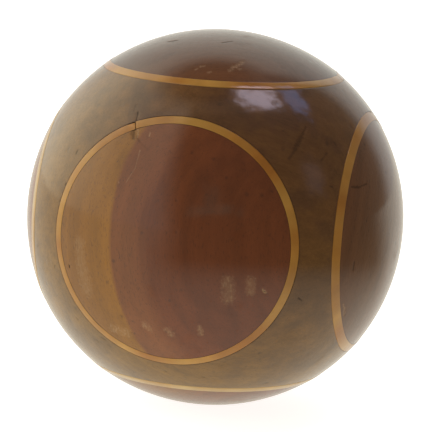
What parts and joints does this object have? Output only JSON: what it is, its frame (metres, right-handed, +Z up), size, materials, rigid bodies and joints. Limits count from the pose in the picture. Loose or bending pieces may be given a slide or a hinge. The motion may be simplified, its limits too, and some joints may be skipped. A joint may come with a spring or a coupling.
{
  "type": "lawn bowl",
  "caption": "Turned wooden lawn bowl, a ball let in on every side with a domed wooden roundel framed by a pale wood strip; one smaller roundel marks the biased side.",
  "frame": {"origin": "centre of the ball", "axes": "+Z up through the top roundel, -Y towards the front roundel, X the axis that the bowl runs about, with its smaller roundel, on the biased side, towards -X"},
  "size_m": [0.1262, 0.1262, 0.1262],
  "materials": {
    "body_wood": "dark olive-brown hardwood, old gloss varnish",
    "roundel_wood": "red-brown hardwood with paler sapwood, old gloss varnish",
    "ring_wood": "yellow boxwood, old gloss varnish"
  },
  "bodies": {
    "root": {"body": "body_wood", "roundel_front": "roundel_wood", "roundel_back": "roundel_wood", "roundel_right": "roundel_wood", "roundel_left": "roundel_wood", "roundel_top": "roundel_wood", "roundel_bottom": "roundel_wood", "ring_front": "ring_wood", "ring_back": "ring_wood", "ring_right": "ring_wood", "ring_left": "ring_wood", "ring_top": "ring_wood", "ring_bottom": "ring_wood"}
  },
  "joints": []
}
